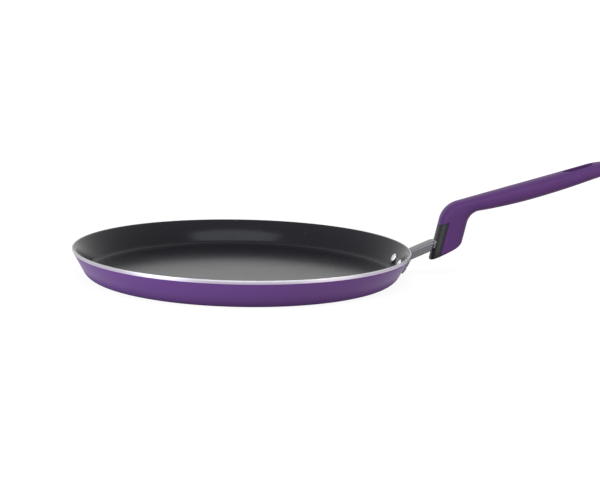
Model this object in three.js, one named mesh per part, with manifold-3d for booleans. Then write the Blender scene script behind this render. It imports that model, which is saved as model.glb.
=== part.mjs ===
// A crepe pan: a shallow pressed aluminium pan with a bare rim, a non-stick lining inside and enamel
// outside, and a bent moulded handle held by a screw on a bracket that is riveted to the wall.
// Millimetres, +Z up. The pan stands on Z = 0 with its axis on Z, and the handle reaches along +X.

import * as THREE from "three";
import { mergeVertices } from "three/addons/utils/BufferGeometryUtils.js";
import Module from "manifold-3d";

const wasm = await Module();
wasm.setup();

// Pan: the pressing and its two coats
const rimRadius = 138.1;
const panHeight = 22.7;
const wallFlare = 28.5; // degrees that the wall leans out from upright
const baseCorner = 9.3; // outer radius between base and wall
const sheet = 2.5;
const rimBand = 2.75; // height of the bare metal left below the rim
const rimEase = 0.5; // chamfer on the rim's outer edge
const rimLand = 1; // flat bare top of the rim
const rimBevel = 25; // degrees below level of the rim's inner slope, which the lining covers
const liningCoat = 0.25;
const enamelCoat = 0.25;
const enamelStop = 72; // degrees below level, on the base corner, where the enamel ends

// Clearances
const seatGap = 0.3; // between pieces that seat on each other
const fitClearance = 0.3; // between a shank or tongue and its hole

// Bracket, pressed from steel: a plate on the wall and a channel that reaches into the handle
const plateWidth = 47;
const plateHeight = 15.9;
const plateBelowRim = 3.55; // down the wall, from the rim edge to the plate
const bracketSheet = 2;
const plateCorner = 5;
const armRise = 24; // degrees that the channel climbs away from the pan
const armAboveToe = 10.8; // square to the channel, from the handle's toe to the channel's middle
const armWidth = 15;
const armHeight = 6.8;
const tongueWidth = 12.6; // the channel inside the handle
const tongueHeight = 5.6;
const tongueReach = 28; // from the toe, along the channel

// Rivets
const rivetFromEnd = 10.5; // along the plate, from its end to a rivet
const rivetFromTop = 11.25; // down the plate, from its top edge
const rivetShank = 5;
const rivetHeadWidth = 8.4;
const rivetHeadHeight = 2.1;
const rivetTailWidth = 7.6;
const rivetTailHeight = 1.3;
const domeFullness = 0.8; // share of a dome's width that stays near its crown
const headEdgeHeight = 0.5; // straight edge below each dome

// Handle: a foot in front of the pan, a bend, and a straight grip
const handleRise = 16.25; // degrees that the grip climbs away from the pan
const soleRise = 27; // degrees that the foot's sole climbs
const toeFromRim = 17; // the sole's front edge, outward from the rim
const toeBelowRim = 9.5;
const footLean = 12.2; // degrees that the foot leans back from upright
const footDepth = 22.4; // between the foot's front and back faces
const footWidth = 22;
const toeRound = 0.7;
const heelRound = 3.5;
const soleEdgeRound = 2;
const gripTop = 41.25; // square to the grip, from the toe to the top of the grip
const bendOuterRadius = 20;
const bendInnerRadius = 12.8;
const neckThickness = 12.3;
const neckWidth = 21;
const bellyThickness = 14.75;
const bellyFromToe = 94;
const bellyWidth = 25;
const tailThickness = 12.3;
const tailWidth = 27;
const gripLength = 168.4; // from the toe to the end, along the grip
const noseLength = 20; // the rounded end
const footFullness = 2.8; // of the foot's section, between an oval's 2 and a box
const gripFullness = 2.4; // of the grip's section
const slotLength = 25.5; // hanging slot
const slotWidth = 13;
const slotFromEnd = 29.7; // from the end of the grip to the middle of the slot

// Heat guard at the foot of the handle
const guardThickness = 6;
const guardHeight = 24; // square to the channel, from the toe

// Handle screw and its spring washer
const screwFromToe = 20.5; // along the channel
const screwShank = 5;
const screwHeadWidth = 8.6;
const screwHeadHeight = 2.5;
const screwTipPast = 0.7; // beyond the channel's web, into which the screw threads
const screwEase = 0.6; // chamfer on the head's and the tip's edge
const driveWidth = 4.6; // cross recess in the head
const driveBlade = 1.2;
const driveDepth = 1.4;
const washerWidth = 8.8;
const washerThickness = 1;
const washerSplit = 1; // width of the cut through the washer
const splitLean = 30; // degrees
const bossWall = 2.1; // moulding between the counterbore and the channel
const counterboreWidth = 10.4;

// Facets
const panSegments = 72;
const cornerSteps = 4;
const roundSegments = 24;
const arcSteps = 6; // in each arc of a cut outline
const easeSteps = 2; // across an eased edge
const domeSteps = 5;
const ringPoints = 22; // round the handle's section
const footSteps = 3;
const bendSteps = 7;
const gripSteps = 9;
const noseSteps = 5;

const materials = {
  aluminium: { color: 0xd9d7dc, roughness: 0.28, metalness: 1 },
  lining: { color: 0x56565a, roughness: 0.5, metalness: 0 },
  enamel: { color: 0x61437b, roughness: 0.25, metalness: 0 },
  blackBakelite: { color: 0x1c1b1e, roughness: 0.5, metalness: 0 },
  purpleBakelite: { color: 0x593a6c, roughness: 0.4, metalness: 0 },
  steel: { color: 0xb9b9bd, roughness: 0.35, metalness: 1 },
};

const radians = THREE.MathUtils.degToRad;
const flare = radians(wallFlare);
const pan = new THREE.Group();

// Closed solids and meshes

function solidOf(geometry) {
  const bare = geometry.clone();
  bare.deleteAttribute("normal");
  bare.deleteAttribute("uv");
  const merged = mergeVertices(bare, 1e-4);
  const corners = merged.index.array;
  const kept = [];
  for (let i = 0; i < corners.length; i += 3) {
    const [a, b, c] = corners.slice(i, i + 3);
    if (a !== b && b !== c && c !== a) kept.push(a, b, c);
  }
  const vertProperties = new Float32Array(merged.attributes.position.array);
  return new wasm.Manifold(new wasm.Mesh({ numProp: 3, vertProperties, triVerts: new Uint32Array(kept) }));
}

function geometryOf(solid) {
  const { vertProperties, triVerts } = solid.getMesh();
  const geometry = new THREE.BufferGeometry();
  geometry.setAttribute("position", new THREE.BufferAttribute(vertProperties, 3));
  geometry.setIndex(new THREE.BufferAttribute(triVerts, 1));
  geometry.computeVertexNormals();
  return geometry;
}

function addPiece(name, geometry, finish, parent = pan) {
  const mesh = new THREE.Mesh(geometry, new THREE.MeshStandardMaterial(materials[finish]));
  mesh.name = name;
  parent.add(mesh);
  return mesh;
}

function point(x, y) {
  return new THREE.Vector2(x, y);
}

// A profile of (radius, height) points, counter-clockwise, turned about Z
function turned(profile, segments) {
  return new THREE.LatheGeometry(profile, segments).rotateX(Math.PI / 2);
}

function ring(profile, segments) {
  return turned([...profile, profile[0]], segments);
}

function roundedRectangle(width, height, corner) {
  const x = width / 2 - corner;
  const y = height / 2 - corner;
  const outline = new THREE.Shape();
  outline.absarc(x, y, corner, 0, Math.PI / 2);
  outline.absarc(-x, y, corner, Math.PI / 2, Math.PI);
  outline.absarc(-x, -y, corner, Math.PI, 1.5 * Math.PI);
  outline.absarc(x, -y, corner, 1.5 * Math.PI, 2 * Math.PI);
  return outline;
}

// The pan's wall, in a half-plane of (radius, height)

const wallDown = point(-Math.sin(flare), -Math.cos(flare));
const wallOut = point(Math.cos(flare), -Math.sin(flare));
const cornerCentre = point(
  rimRadius - ((panHeight - baseCorner) * Math.sin(flare) + baseCorner) / Math.cos(flare),
  baseCorner,
);

// A point that lies down the wall from the rim edge, and out from the metal's outer face
function onWall(down, out) {
  return point(rimRadius, panHeight).addScaledVector(wallDown, down).addScaledVector(wallOut, out);
}

function wallAtHeight(height, out) {
  const radius = rimRadius - (panHeight - height) * Math.tan(flare) + out / Math.cos(flare);
  return point(radius, height);
}

// The base corner, between two angles in degrees below level, out from the metal's outer face
function cornerArc(out, from, to, steps) {
  const radius = baseCorner + out;
  return Array.from({ length: steps + 1 }, (_, i) => {
    const angle = -radians(from + ((to - from) * i) / steps);
    return cornerCentre.clone().add(point(radius * Math.cos(angle), radius * Math.sin(angle)));
  });
}

const liningFace = -(sheet + liningCoat);

// The rim's inner slope, under a coat: its top point on the land's level and its foot on the wall
function rimSlope(coat) {
  const slope = radians(rimBevel);
  const top = point(rimRadius - rimEase - rimLand - coat / Math.sin(slope), panHeight);
  const width = top.x - wallAtHeight(panHeight, -(sheet + coat)).x;
  const drop = width / (1 / Math.tan(slope) - Math.tan(flare));
  return [top, wallAtHeight(panHeight - drop, -(sheet + coat))];
}

const plateBack = enamelCoat + seatGap;
const plateFront = plateBack + bracketSheet;

// Rivets: both stand square to the wall, with their heads on the lining and tails on the plate

const rivetFoot = onWall(plateBelowRim + rivetFromTop, 0);
const rivetAngle = Math.asin((plateWidth / 2 - rivetFromEnd) / rivetFoot.x);

function rivetGroup(side) {
  const swing = new THREE.Group();
  swing.rotation.z = side * rivetAngle;
  const seat = new THREE.Group();
  seat.position.set(rivetFoot.x, 0, rivetFoot.y);
  seat.rotation.y = Math.PI / 2 + flare;
  swing.add(seat);
  swing.updateMatrixWorld(true);
  return { swing, seat };
}

function rivetProfile() {
  const shank = rivetShank / 2;
  const headEdge = rivetHeadWidth / 2;
  const tailEdge = rivetTailWidth / 2;
  const headSeat = liningFace - seatGap;
  const headCrown = headSeat - rivetHeadHeight;
  const tailSeat = plateFront + seatGap;
  const tailCrown = tailSeat + rivetTailHeight;
  const head = new THREE.QuadraticBezierCurve(
    point(0, headCrown),
    point(headEdge * domeFullness, headCrown),
    point(headEdge, headSeat - headEdgeHeight),
  );
  const tail = new THREE.QuadraticBezierCurve(
    point(tailEdge, tailSeat + headEdgeHeight),
    point(tailEdge * domeFullness, tailCrown),
    point(0, tailCrown),
  );
  return [
    ...head.getPoints(domeSteps),
    point(headEdge, headSeat),
    point(shank, headSeat),
    point(shank, tailSeat),
    point(tailEdge, tailSeat),
    ...tail.getPoints(domeSteps),
  ];
}

const rivetHoleReach = 2 * (sheet + plateFront + rivetHeadHeight);
const rivetHole = new THREE.CylinderGeometry(
  rivetShank / 2 + fitClearance,
  rivetShank / 2 + fitClearance,
  rivetHoleReach,
  roundSegments,
).rotateX(Math.PI / 2);

const rivetSides = { near: -1, far: 1 };

function drillForRivets(solid) {
  return Object.values(rivetSides).reduce((drilled, side) => {
    const { seat } = rivetGroup(side);
    return drilled.subtract(solidOf(rivetHole.clone().applyMatrix4(seat.matrixWorld)));
  }, solid);
}

// Pan body, lining and enamel: three turned shells that share their faces

function panBody() {
  const profile = [
    point(0, 0),
    ...cornerArc(0, 90, enamelStop, easeSteps),
    ...cornerArc(0, enamelStop, wallFlare, cornerSteps).slice(1),
    wallAtHeight(panHeight - rimEase, 0),
    wallAtHeight(panHeight, 0).add(point(-rimEase, 0)),
    ...rimSlope(0),
    ...cornerArc(-sheet, wallFlare, 90, cornerSteps),
    point(0, sheet),
  ];
  return drillForRivets(solidOf(turned(profile, panSegments)));
}

function nonstickLining() {
  const profile = [
    point(0, sheet),
    ...cornerArc(-sheet, 90, wallFlare, cornerSteps),
    ...rimSlope(0).reverse(),
    ...rimSlope(liningCoat),
    ...cornerArc(liningFace, wallFlare, 90, cornerSteps),
    point(0, -liningFace),
  ];
  return drillForRivets(solidOf(turned(profile, panSegments)));
}

function exteriorEnamel() {
  const profile = [
    ...cornerArc(enamelCoat, enamelStop, wallFlare, cornerSteps),
    wallAtHeight(panHeight - rimBand, enamelCoat),
    wallAtHeight(panHeight - rimBand, 0),
    ...cornerArc(0, wallFlare, enamelStop, cornerSteps),
  ];
  return drillForRivets(solidOf(ring(profile, panSegments)));
}

addPiece("pan_body", geometryOf(panBody()), "aluminium");
addPiece("nonstick_lining", geometryOf(nonstickLining()), "lining");
addPiece("exterior_enamel", geometryOf(exteriorEnamel()), "enamel");

for (const [side, sign] of Object.entries(rivetSides)) {
  const { swing, seat } = rivetGroup(sign);
  addPiece(`rivet_${side}`, turned(rivetProfile(), roundSegments), "aluminium", seat);
  pan.add(swing);
}

// Frames at the handle's toe: first along a line that climbs away from the pan, then up square to
// it, then across. The channel, guard and screw follow one, and the moulding and its slot another.

function frameAtToe(rise) {
  const climb = radians(rise);
  return new THREE.Matrix4()
    .makeBasis(
      new THREE.Vector3(Math.cos(climb), 0, Math.sin(climb)),
      new THREE.Vector3(-Math.sin(climb), 0, Math.cos(climb)),
      new THREE.Vector3(0, -1, 0),
    )
    .setPosition(rimRadius + toeFromRim, 0, panHeight - toeBelowRim);
}

const armFrame = frameAtToe(armRise);
const gripFrame = frameAtToe(handleRise);
const leanFromArm = radians(footLean + armRise);
const leanFromGrip = radians(footLean + handleRise);

// The foot's front face at a height square to a frame, and a distance behind it
function footFront(lean, height, behind = 0) {
  return height * Math.tan(lean) + behind / Math.cos(lean);
}

function armFront(height, behind = 0) {
  return footFront(leanFromArm, height, behind);
}

// A plate of a side outline in the channel's frame, as wide as given, with its edges eased
function acrossArm(outline, width, ease = 0) {
  const geometry = new THREE.ExtrudeGeometry(new THREE.Shape(outline), {
    depth: width - 2 * ease,
    bevelEnabled: ease > 0,
    bevelSize: ease,
    bevelOffset: -ease,
    bevelThickness: ease,
    bevelSegments: easeSteps,
  });
  return solidOf(geometry.translate(0, 0, ease - width / 2).applyMatrix4(armFrame));
}

// A round pin on the screw's axis, between two heights square to the channel
function onScrewAxis(width, from, to) {
  const pin = new THREE.CylinderGeometry(width / 2, width / 2, to - from, roundSegments);
  return solidOf(pin.translate(screwFromToe, (from + to) / 2, 0).applyMatrix4(armFrame));
}

// Bracket

const armBottom = armAboveToe - armHeight / 2;
const armTop = armAboveToe + armHeight / 2;
const tongueBottom = armAboveToe - tongueHeight / 2;
const tongueTop = armAboveToe + tongueHeight / 2;
const tongueRoot = armFront(tongueBottom, -guardThickness);
const counterboreFloor = tongueBottom - fitClearance - bossWall;
const screwHoleWidth = screwShank + 2 * fitClearance;

// The space that the tongue takes up, with a clearance all round
function tongueSpace(clearance) {
  const low = tongueBottom - clearance;
  const high = tongueTop + clearance;
  const end = tongueReach + clearance;
  const outline = [point(tongueRoot, low), point(end, low), point(end, high), point(tongueRoot, high)];
  return acrossArm(outline, tongueWidth + 2 * clearance);
}

function bracketPlate() {
  const bottom = plateBelowRim + plateHeight;
  const sweep = ring(
    [
      onWall(bottom, plateBack),
      onWall(bottom, plateFront),
      onWall(plateBelowRim, plateFront),
      onWall(plateBelowRim, plateBack),
    ],
    panSegments,
  );
  const outline = roundedRectangle(plateWidth, plateHeight, plateCorner);
  const reach = plateWidth / 2;
  const stamp = new THREE.ExtrudeGeometry(outline, {
    depth: 2 * reach,
    bevelEnabled: false,
    curveSegments: arcSteps,
  });
  const middle = onWall(plateBelowRim + plateHeight / 2, plateBack);
  const stampFrame = new THREE.Matrix4()
    .makeBasis(
      new THREE.Vector3(0, 1, 0),
      new THREE.Vector3(Math.sin(flare), 0, Math.cos(flare)),
      new THREE.Vector3(Math.cos(flare), 0, -Math.sin(flare)),
    )
    .setPosition(middle.x, 0, middle.y);
  return solidOf(sweep).intersect(solidOf(stamp.translate(0, 0, -reach).applyMatrix4(stampFrame)));
}

// Everything inside the plate's back, which the channel's root stops at
function panSpace() {
  return solidOf(
    turned(
      [
        point(0, -panHeight),
        wallAtHeight(-panHeight, plateBack),
        wallAtHeight(2 * panHeight, plateBack),
        point(0, 2 * panHeight),
      ],
      panSegments,
    ),
  );
}

function handleBracket() {
  const armRoot = -(toeFromRim + plateHeight);
  const web = acrossArm(
    [
      point(armRoot, armBottom),
      point(armFront(armBottom, -seatGap), armBottom),
      point(armFront(armTop, -seatGap), armTop),
      point(armRoot, armTop),
    ],
    armWidth,
    bracketSheet / 2,
  );
  const underWeb = acrossArm(
    [
      point(armRoot, armBottom - bracketSheet),
      point(tongueReach + bracketSheet, armBottom - bracketSheet),
      point(tongueReach + bracketSheet, tongueTop - bracketSheet),
      point(armRoot, tongueTop - bracketSheet),
    ],
    tongueWidth - 2 * bracketSheet,
  );
  const channel = web.add(tongueSpace(0)).subtract(underWeb).subtract(panSpace());
  const screwHole = onScrewAxis(screwHoleWidth, 0, gripTop);
  return drillForRivets(bracketPlate().add(channel)).subtract(screwHole);
}

addPiece("handle_bracket", geometryOf(handleBracket()), "steel");

// Handle moulding: sections between an outer line (front of the foot, top of the grip) and an inner
// line (back of the foot, underside of the grip), from the sole to the end

const neckUnder = gripTop - neckThickness;
const soleClimb = radians(soleRise - handleRise);
const footBack = footDepth / Math.cos(leanFromGrip); // along the grip, behind the front face
const heelDepth = footDepth / Math.cos(leanFromGrip + soleClimb); // the sole, toe to heel

// How far a rounded edge draws in at a height above the sole
function drawnIn(height, radius) {
  const left = Math.max(0, 1 - height / radius);
  return radius * (1 - Math.sqrt(1 - left * left));
}

// A point above the sole, so far up the foot's slope and so far behind its front face
function onFoot(height, along) {
  const up = point(Math.sin(leanFromGrip), Math.cos(leanFromGrip)).multiplyScalar(height);
  return up.add(point(Math.cos(soleClimb), Math.sin(soleClimb)).multiplyScalar(along));
}

// A bend's arc, tangent to a foot face that starts at `start` and to a level line
function bendPoint(start, level, radius, turn) {
  const centreHeight = level - radius;
  const centre = point(start + footFront(leanFromGrip, centreHeight, radius), centreHeight);
  const angle = Math.PI - leanFromGrip - turn * (Math.PI / 2 - leanFromGrip);
  return centre.add(point(radius * Math.cos(angle), radius * Math.sin(angle)));
}

// The grip swells from the neck to the belly and draws in again to the tail
function swell(along, from, neck, belly, tail) {
  const end = gripLength - noseLength;
  const [edge, value] = along < bellyFromToe ? [from, neck] : [end, tail];
  const share = (along - bellyFromToe) / (edge - bellyFromToe);
  return belly + (value - belly) * share * share;
}

function handleStations() {
  const stations = [];
  const soleHeights = [0, 0.1, 0.35, 0.75, 1].map((share) => share * heelRound);
  for (const height of soleHeights) {
    stations.push({
      outer: onFoot(height, drawnIn(height, toeRound)),
      inner: onFoot(height, heelDepth - drawnIn(height, heelRound)),
      width: footWidth - 2 * drawnIn(height, soleEdgeRound),
      fullness: footFullness,
    });
  }
  const last = stations.at(-1);
  for (let i = 1; i < footSteps; i += 1) {
    const share = i / footSteps;
    stations.push({
      outer: last.outer.clone().lerp(bendPoint(0, gripTop, bendOuterRadius, 0), share),
      inner: last.inner.clone().lerp(bendPoint(footBack, neckUnder, bendInnerRadius, 0), share),
      width: footWidth,
      fullness: footFullness,
    });
  }
  for (let i = 0; i <= bendSteps; i += 1) {
    const turn = i / bendSteps;
    stations.push({
      outer: bendPoint(0, gripTop, bendOuterRadius, turn),
      inner: bendPoint(footBack, neckUnder, bendInnerRadius, turn),
      width: THREE.MathUtils.lerp(footWidth, neckWidth, turn),
      fullness: THREE.MathUtils.lerp(footFullness, gripFullness, turn),
    });
  }
  const { outer, inner } = stations.at(-1);
  const noseStart = gripLength - noseLength;
  for (let i = 1; i <= gripSteps; i += 1) {
    const above = THREE.MathUtils.lerp(outer.x, noseStart, i / gripSteps);
    const below = THREE.MathUtils.lerp(inner.x, noseStart, i / gripSteps);
    const thickness = swell(below, inner.x, neckThickness, bellyThickness, tailThickness);
    stations.push({
      outer: point(above, gripTop),
      inner: point(below, gripTop - thickness),
      width: swell((above + below) / 2, (outer.x + inner.x) / 2, neckWidth, bellyWidth, tailWidth),
      fullness: gripFullness,
    });
  }
  const noseMiddle = gripTop - tailThickness / 2;
  const noseTurn = 0.95; // share of a quarter turn at which the end is cut flat
  for (let i = 1; i <= noseSteps; i += 1) {
    const turn = (noseTurn * i * Math.PI) / 2 / noseSteps;
    const along = noseStart + noseLength * Math.sin(turn);
    const left = Math.cos(turn);
    stations.push({
      outer: point(along, noseMiddle + (left * tailThickness) / 2),
      inner: point(along, noseMiddle - (left * tailThickness) / 2),
      width: tailWidth * left,
      fullness: gripFullness,
    });
  }
  return stations;
}

// One section: a rounded oval, fuller at the corners as `fullness` grows past 2
function sectionRing({ outer, inner, width, fullness }) {
  const power = 2 / fullness;
  return Array.from({ length: ringPoints }, (_, i) => {
    const angle = (2 * Math.PI * i) / ringPoints;
    const across = Math.sign(Math.cos(angle)) * Math.abs(Math.cos(angle)) ** power;
    const up = Math.sign(Math.sin(angle)) * Math.abs(Math.sin(angle)) ** power;
    const spot = inner.clone().lerp(outer, (1 + up) / 2);
    return new THREE.Vector3(spot.x, spot.y, (across * width) / 2);
  });
}

// A skin over a row of rings, closed by a fan at each end
function loft(rings) {
  const count = rings[0].length;
  const spots = rings.flat();
  const faces = [];
  for (let row = 0; row + 1 < rings.length; row += 1) {
    for (let i = 0; i < count; i += 1) {
      const a = row * count + i;
      const b = row * count + ((i + 1) % count);
      faces.push(a, b + count, b, a, a + count, b + count);
    }
  }
  for (const [row, first] of [[0, true], [rings.length - 1, false]]) {
    const middle = spots.length;
    const centre = rings[row].reduce((sum, spot) => sum.add(spot), new THREE.Vector3());
    spots.push(centre.divideScalar(count));
    for (let i = 0; i < count; i += 1) {
      const a = row * count + i;
      const b = row * count + ((i + 1) % count);
      faces.push(middle, first ? a : b, first ? b : a);
    }
  }
  const geometry = new THREE.BufferGeometry().setFromPoints(spots);
  geometry.setIndex(faces);
  return geometry;
}

const moulding = solidOf(loft(handleStations().map(sectionRing)).applyMatrix4(gripFrame));

// The space in front of the foot that the heat guard fills
function guardSpace(clearance) {
  const reach = 2 * guardThickness;
  const behind = guardThickness + clearance;
  const top = guardHeight + clearance;
  return acrossArm(
    [
      point(armFront(-reach, -reach), -reach),
      point(armFront(-reach, behind), -reach),
      point(armFront(top, behind), top),
      point(armFront(top, -reach), top),
    ],
    2 * footWidth,
  );
}

function heatGuard() {
  return moulding.intersect(guardSpace(0)).subtract(tongueSpace(fitClearance));
}

function hangingSlot() {
  const outline = roundedRectangle(slotLength, slotWidth, slotWidth / 2);
  const cutter = new THREE.ExtrudeGeometry(outline, {
    depth: gripTop,
    bevelEnabled: false,
    curveSegments: arcSteps,
  });
  cutter.rotateX(-Math.PI / 2).translate(gripLength - slotFromEnd, gripTop / 2, 0);
  return solidOf(cutter.applyMatrix4(gripFrame));
}

function handleGrip() {
  const counterbore = onScrewAxis(counterboreWidth, -counterboreFloor, counterboreFloor);
  const screwHole = onScrewAxis(screwHoleWidth, 0, tongueTop + screwTipPast + seatGap);
  return moulding
    .subtract(guardSpace(seatGap))
    .subtract(tongueSpace(fitClearance))
    .subtract(counterbore)
    .subtract(screwHole)
    .subtract(hangingSlot());
}

addPiece("heat_guard", geometryOf(heatGuard()), "blackBakelite");
addPiece("handle_grip", geometryOf(handleGrip()), "purpleBakelite");

// Screw and spring washer, square to the channel

const screwFrame = new THREE.Group();
screwFrame.applyMatrix4(armFrame);
pan.add(screwFrame);

const washerTop = counterboreFloor - seatGap;
const headTop = washerTop - washerThickness - seatGap;
const headBottom = headTop - screwHeadHeight;

function handleScrew() {
  const shank = screwShank / 2;
  const head = screwHeadWidth / 2;
  const tip = tongueTop + screwTipPast;
  const profile = [
    point(0, headBottom),
    point(head - screwEase, headBottom),
    point(head, headBottom + screwEase),
    point(head, headTop),
    point(shank, headTop),
    point(shank, tip - screwEase),
    point(shank - screwEase, tip),
    point(0, tip),
  ];
  const blank = solidOf(turned(profile, roundSegments));
  const slots = [0, Math.PI / 2].map((angle) => {
    const blade = new THREE.BoxGeometry(driveWidth, driveBlade, 2 * driveDepth);
    return solidOf(blade.rotateZ(angle).translate(0, 0, headBottom));
  });
  return slots.reduce((cut, slot) => cut.subtract(slot), blank);
}

function lockWasher() {
  const bore = screwShank / 2 + fitClearance;
  const edge = washerWidth / 2;
  const profile = [
    point(bore, washerTop - washerThickness),
    point(edge, washerTop - washerThickness),
    point(edge, washerTop),
    point(bore, washerTop),
  ];
  const split = new THREE.BoxGeometry(washerWidth, washerSplit, 3 * washerThickness);
  split.rotateX(radians(splitLean)).translate(washerWidth / 2, 0, washerTop - washerThickness / 2);
  return solidOf(ring(profile, roundSegments)).subtract(solidOf(split));
}

for (const [name, solid] of [["handle_screw", handleScrew()], ["lock_washer", lockWasher()]]) {
  const piece = addPiece(name, geometryOf(solid), "steel", screwFrame);
  piece.position.x = screwFromToe;
  piece.rotation.x = -Math.PI / 2;
}

export default pan;
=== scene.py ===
# A crepe pan with a long bent handle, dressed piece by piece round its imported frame. Sizes are in
# millimetres where they are named, and meshes in metres. +Z is up and the handle reaches along +X.

import math

import bmesh
import bpy
from mathutils import Matrix, Vector


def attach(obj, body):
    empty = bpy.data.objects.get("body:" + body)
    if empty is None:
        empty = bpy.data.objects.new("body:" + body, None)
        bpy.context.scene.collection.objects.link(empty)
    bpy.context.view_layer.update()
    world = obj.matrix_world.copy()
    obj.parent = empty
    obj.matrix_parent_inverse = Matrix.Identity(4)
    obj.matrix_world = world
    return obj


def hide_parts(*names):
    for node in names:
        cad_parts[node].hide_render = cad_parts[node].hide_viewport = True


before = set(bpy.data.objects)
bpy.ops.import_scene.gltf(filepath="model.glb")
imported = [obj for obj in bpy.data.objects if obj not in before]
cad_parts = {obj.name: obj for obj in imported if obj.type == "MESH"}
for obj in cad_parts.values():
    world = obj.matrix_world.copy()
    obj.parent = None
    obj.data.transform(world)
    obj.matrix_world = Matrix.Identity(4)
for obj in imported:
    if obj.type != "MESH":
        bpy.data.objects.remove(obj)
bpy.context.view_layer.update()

# Camera
# It stands in front of the pan and a little above the rim, with a short telephoto lens. The handle
# lies to the right and points slightly away from it.
mm = 0.001
handle_turn = math.radians(6)
camera_lens = 84
camera_pitch = math.radians(10.55)
camera_roll = math.radians(1.52)
camera_reach = 1144 * mm
rim_right_of_sight = -46.9 * mm
rim_above_sight = 4.1 * mm
sight_height = 23.6 * mm

ahead = Vector((0, math.cos(camera_pitch), -math.sin(camera_pitch)))
level_right = Vector((1, 0, 0))
level_up = level_right.cross(ahead)
right = level_right * math.cos(camera_roll) + level_up * math.sin(camera_roll)
up = level_up * math.cos(camera_roll) - level_right * math.sin(camera_roll)
stand = -right * rim_right_of_sight - up * rim_above_sight - ahead * camera_reach

camera = bpy.data.objects.new("camera", bpy.data.cameras.new("camera"))
camera.data.lens = camera_lens
turn_to_handle = Matrix.Translation((0, 0, sight_height)) @ Matrix.Rotation(-handle_turn, 4, "Z")
look = Matrix((right, up, -ahead)).transposed().to_4x4()
camera.matrix_world = turn_to_handle @ Matrix.Translation(stand) @ look
bpy.context.scene.collection.objects.link(camera)
bpy.context.scene.camera = camera
bpy.context.scene.view_settings.view_transform = "Standard"

# Floor and surroundings
# A plain white floor runs into a white room. Both are white to the camera and in reflections, and
# light the pan as plain matt surfaces do; the floor still takes the pan's soft shadow.
floor_half = 20
floor_drop = 0.05 * mm
floor_glow = 0.9
floor_far_glow = 1
floor_shadow_share = 0.14
floor_shadow_reach = (0.35, 1.1)
floor_bounce = (0.48, 0.46, 0.42, 1)
room_light = 0.44


def add_node(tree, kind, **settings):
    """A node with its settings, and with values for the inputs that it has by those names."""
    node = tree.nodes.new(kind)
    for name, value in settings.items():
        socket = name.replace("_", " ")
        if socket in node.inputs:
            node.inputs[socket].default_value = value
        else:
            setattr(node, name, value)
    return node


def computed(tree, operation, *values):
    """The result of a Math node, from plain numbers and other nodes' outputs."""
    node = add_node(tree, "ShaderNodeMath", operation=operation)
    for socket, value in zip(node.inputs, values):
        if isinstance(value, (int, float)):
            socket.default_value = value
        else:
            tree.links.new(value, socket)
    return node.outputs[0]


def seen_directly(tree):
    """1 for rays from the camera, in reflections and through glass, and 0 for the rest."""
    path = add_node(tree, "ShaderNodeLightPath").outputs
    mirrored = computed(tree, "MAXIMUM", path["Is Glossy Ray"], path["Is Transmission Ray"])
    return computed(tree, "MAXIMUM", path["Is Camera Ray"], mirrored)


def floor_material():
    material = bpy.data.materials.new("white_floor")
    material.use_nodes = True
    tree = material.node_tree
    tree.nodes.clear()
    output = add_node(tree, "ShaderNodeOutputMaterial")
    bounce = add_node(tree, "ShaderNodeBsdfDiffuse", Color=floor_bounce)
    shadow = add_node(tree, "ShaderNodeBsdfDiffuse", Color=(floor_shadow_share,) * 3 + (1,))
    glow = add_node(tree, "ShaderNodeEmission")
    place = add_node(tree, "ShaderNodeTexCoord")
    distance = add_node(tree, "ShaderNodeVectorMath", operation="LENGTH")
    whiter = add_node(
        tree,
        "ShaderNodeMapRange",
        interpolation_type="SMOOTHSTEP",
        From_Min=floor_shadow_reach[0],
        From_Max=floor_shadow_reach[1],
        To_Min=floor_glow,
        To_Max=floor_far_glow,
    )
    link = tree.links.new
    link(place.outputs["Object"], distance.inputs[0])
    link(distance.outputs["Value"], whiter.inputs["Value"])
    link(whiter.outputs["Result"], glow.inputs["Strength"])
    white = add_node(tree, "ShaderNodeAddShader")
    by_ray = add_node(tree, "ShaderNodeMixShader")
    clear = add_node(tree, "ShaderNodeBsdfTransparent")
    by_side = add_node(tree, "ShaderNodeMixShader")
    side = add_node(tree, "ShaderNodeNewGeometry")
    link(shadow.outputs[0], white.inputs[0])
    link(glow.outputs[0], white.inputs[1])
    link(seen_directly(tree), by_ray.inputs[0])
    link(bounce.outputs[0], by_ray.inputs[1])
    link(white.outputs[0], by_ray.inputs[2])
    link(side.outputs["Backfacing"], by_side.inputs[0])
    link(by_ray.outputs[0], by_side.inputs[1])
    link(clear.outputs[0], by_side.inputs[2])
    link(by_side.outputs[0], output.inputs["Surface"])
    return material


floor_mesh = bpy.data.meshes.new("floor")
square_signs = ((-1, -1), (1, -1), (1, 1), (-1, 1))
floor_corners = [(x * floor_half, y * floor_half, -floor_drop) for x, y in square_signs]
floor_mesh.from_pydata(floor_corners, [], [(0, 1, 2, 3)])
floor_mesh.materials.append(floor_material())
floor = bpy.data.objects.new("floor", floor_mesh)
bpy.context.scene.collection.objects.link(floor)

room = bpy.data.worlds.new("white_room")
room.use_nodes = True
room_tree = room.node_tree
room_tree.nodes.clear()
room_output = add_node(room_tree, "ShaderNodeOutputWorld")
room_soft = add_node(room_tree, "ShaderNodeBackground", Color=(1, 1, 1, 1), Strength=room_light)
room_white = add_node(room_tree, "ShaderNodeBackground", Color=(1, 1, 1, 1), Strength=1)
room_by_ray = add_node(room_tree, "ShaderNodeMixShader")
room_tree.links.new(seen_directly(room_tree), room_by_ray.inputs[0])
room_tree.links.new(room_soft.outputs[0], room_by_ray.inputs[1])
room_tree.links.new(room_white.outputs[0], room_by_ray.inputs[2])
room_tree.links.new(room_by_ray.outputs[0], room_output.inputs["Surface"])
bpy.context.scene.world = room

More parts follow.
